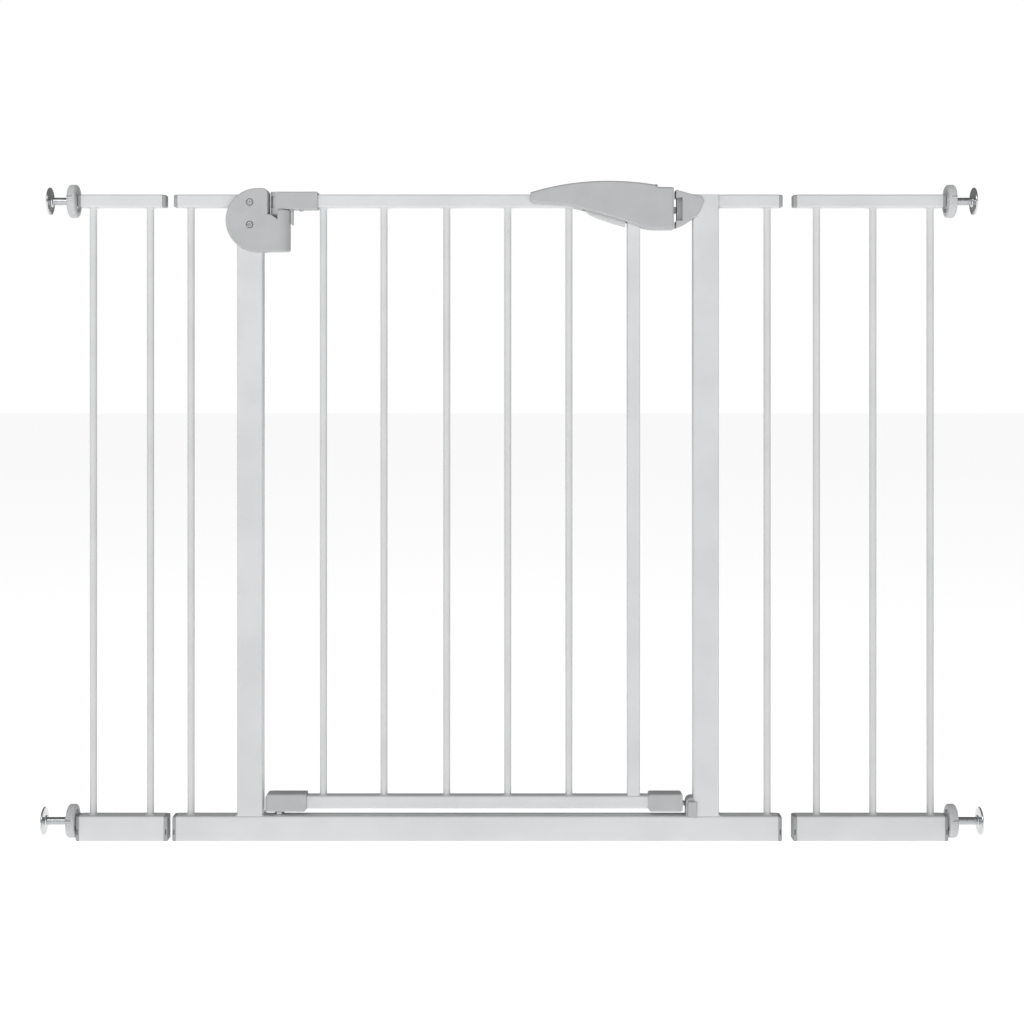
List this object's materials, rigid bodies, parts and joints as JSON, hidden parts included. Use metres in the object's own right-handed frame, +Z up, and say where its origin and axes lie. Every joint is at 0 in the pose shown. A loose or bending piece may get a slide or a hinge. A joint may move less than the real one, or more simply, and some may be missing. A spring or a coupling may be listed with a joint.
{
  "type": "safety baby gate",
  "caption": "Pressure-fit safety gate: welded steel frame with a swinging door, squeeze handle, clip-on side extensions and screw spindles with wall cups.",
  "frame": {"origin": "centre of the gate's width and depth, on the floor under the bottom rails", "axes": "+X to the right seen from the front, from wall to wall; -Y to the front; +Z up"},
  "size_m": [1.1, 0.039, 0.7725],
  "materials": {
    "painted_steel": "satin powder coat",
    "grey_abs": "moulded grey ABS",
    "light_abs": "moulded pale grey plastic",
    "plug_plastic": "moulded mid-grey plastic",
    "zinc_steel": "zinc plated"
  },
  "bodies": {
    "main_frame": {"frame_bottom_rail": "painted_steel", "hinge_post": "painted_steel", "latch_post": "painted_steel", "left_side_top_rail": "painted_steel", "right_side_top_rail": "painted_steel", "left_side_bar": "painted_steel", "right_side_bar": "painted_steel", "frame_end_plugs": "plug_plastic", "hinge_cover_front": "grey_abs", "hinge_cover_back": "grey_abs", "frame_screws": "zinc_steel", "top_hinge_bush": "light_abs", "bottom_hinge_bush": "light_abs", "strike_cover": "grey_abs", "strike_plate": "plug_plastic", "bottom_catch": "grey_abs"},
    "hinge_pins": {"top_hinge_pin": "zinc_steel", "bottom_hinge_pin": "zinc_steel", "bottom_pin_nut": "zinc_steel"},
    "door": {"door_top_rail": "painted_steel", "door_bottom_rail": "painted_steel", "door_bars": "painted_steel", "lock_stile": "painted_steel", "top_hinge_cap": "grey_abs", "top_hinge_sleeve": "light_abs", "cap_screw": "zinc_steel", "bottom_hinge_cap": "grey_abs", "bottom_latch_cap": "grey_abs", "handle_front_shell": "grey_abs", "handle_back_shell": "grey_abs", "handle_screws": "zinc_steel", "lever_pin": "zinc_steel"},
    "lever": {"release_lever": "light_abs"},
    "button": {"thumb_button": "grey_abs"},
    "top_bolt": {"top_latch_bolt": "zinc_steel"},
    "bottom_bolt": {"bottom_latch_bolt": "zinc_steel"},
    "link_rod": {"latch_link_rod": "zinc_steel"},
    "left_extension": {"left_extension_top_rail": "painted_steel", "left_extension_bottom_rail": "painted_steel", "left_extension_bars": "painted_steel", "left_extension_plugs": "plug_plastic"},
    "right_extension": {"right_extension_top_rail": "painted_steel", "right_extension_bottom_rail": "painted_steel", "right_extension_bars": "painted_steel", "right_extension_plugs": "plug_plastic"},
    "left_top_spindle": {"left_top_spindle_rod": "zinc_steel", "left_top_wall_cup": "zinc_steel"},
    "left_top_wheel": {"left_top_hand_wheel": "light_abs"},
    "left_bottom_spindle": {"left_bottom_spindle_rod": "zinc_steel", "left_bottom_wall_cup": "zinc_steel"},
    "left_bottom_wheel": {"left_bottom_hand_wheel": "light_abs"},
    "right_top_spindle": {"right_top_spindle_rod": "zinc_steel", "right_top_wall_cup": "zinc_steel"},
    "right_top_wheel": {"right_top_hand_wheel": "light_abs"},
    "right_bottom_spindle": {"right_bottom_spindle_rod": "zinc_steel", "right_bottom_wall_cup": "zinc_steel"},
    "right_bottom_wheel": {"right_bottom_hand_wheel": "light_abs"}
  },
  "joints": [
    {"name": "door_lift", "type": "slide", "parent": "main_frame", "child": "hinge_pins", "axis": [0, 0, 1], "range_m": [0, 0.008]},
    {"name": "door_swing", "type": "hinge", "parent": "hinge_pins", "child": "door", "pos_m": [-0.2728, 0, 0.4], "axis": [0, 0, 1], "range_deg": [-90, 90]},
    {"name": "lever_squeeze", "type": "hinge", "parent": "door", "child": "lever", "pos_m": [0.0915, 0, 0.7383], "axis": [0, -1, 0], "range_deg": [0, 6], "stiffness_Nm_per_rad": 0.5, "springref_deg": -5.73},
    {"name": "top_bolt_slide", "type": "slide", "parent": "door", "child": "top_bolt", "axis": [-1, 0, 0], "range_m": [0, 0.0042]},
    {"name": "bottom_bolt_slide", "type": "slide", "parent": "door", "child": "bottom_bolt", "axis": [-1, 0, 0], "range_m": [0, 0.0042]},
    {"name": "link_rod_slide", "type": "slide", "parent": "door", "child": "link_rod", "axis": [0, 0, 1], "range_m": [0, 0.0035]},
    {"name": "button_slide", "type": "slide", "parent": "door", "child": "button", "axis": [1, 0, 0], "range_m": [0, 0.006], "stiffness_N_per_m": 150, "springref_m": -0.002},
    {"name": "left_extension_fit", "type": "slide", "parent": "main_frame", "child": "left_extension", "axis": [1, 0, 0], "range_m": [-0.04, 0.005]},
    {"name": "right_extension_fit", "type": "slide", "parent": "main_frame", "child": "right_extension", "axis": [-1, 0, 0], "range_m": [-0.04, 0.0118]},
    {"name": "left_top_wheel_turn", "type": "hinge", "parent": "left_extension", "child": "left_top_wheel", "pos_m": [-0.515, 0, 0.7495], "axis": [-1, 0, 0], "range_deg": [-3601, 4801]},
    {"name": "left_top_spindle_slide", "type": "slide", "parent": "left_extension", "child": "left_top_spindle", "axis": [-1, 0, 0], "range_m": [-0.015, 0.02]},
    {"name": "left_bottom_wheel_turn", "type": "hinge", "parent": "left_extension", "child": "left_bottom_wheel", "pos_m": [-0.515, 0, 0.0224], "axis": [-1, 0, 0], "range_deg": [-3601, 4801]},
    {"name": "left_bottom_spindle_slide", "type": "slide", "parent": "left_extension", "child": "left_bottom_spindle", "axis": [-1, 0, 0], "range_m": [-0.015, 0.02]},
    {"name": "right_top_wheel_turn", "type": "hinge", "parent": "right_extension", "child": "right_top_wheel", "pos_m": [0.515, 0, 0.7495], "axis": [1, 0, 0], "range_deg": [-3601, 4801]},
    {"name": "right_top_spindle_slide", "type": "slide", "parent": "right_extension", "child": "right_top_spindle", "axis": [1, 0, 0], "range_m": [-0.015, 0.02]},
    {"name": "right_bottom_wheel_turn", "type": "hinge", "parent": "right_extension", "child": "right_bottom_wheel", "pos_m": [0.515, 0, 0.0224], "axis": [1, 0, 0], "range_deg": [-3601, 4801]},
    {"name": "right_bottom_spindle_slide", "type": "slide", "parent": "right_extension", "child": "right_bottom_spindle", "axis": [1, 0, 0], "range_m": [-0.015, 0.02]}
  ],
  "couplings": [
    {"joint": "lever_squeeze", "follows": "link_rod_slide", "rad_per_m": 29.905},
    {"joint": "top_bolt_slide", "follows": "link_rod_slide", "ratio": 1.1994},
    {"joint": "bottom_bolt_slide", "follows": "link_rod_slide", "ratio": 1.1994},
    {"joint": "left_top_wheel_turn", "follows": "left_top_spindle_slide", "rad_per_m": 4188.8},
    {"joint": "left_bottom_wheel_turn", "follows": "left_bottom_spindle_slide", "rad_per_m": 4188.8},
    {"joint": "right_top_wheel_turn", "follows": "right_top_spindle_slide", "rad_per_m": 4188.8},
    {"joint": "right_bottom_wheel_turn", "follows": "right_bottom_spindle_slide", "rad_per_m": 4188.8}
  ]
}
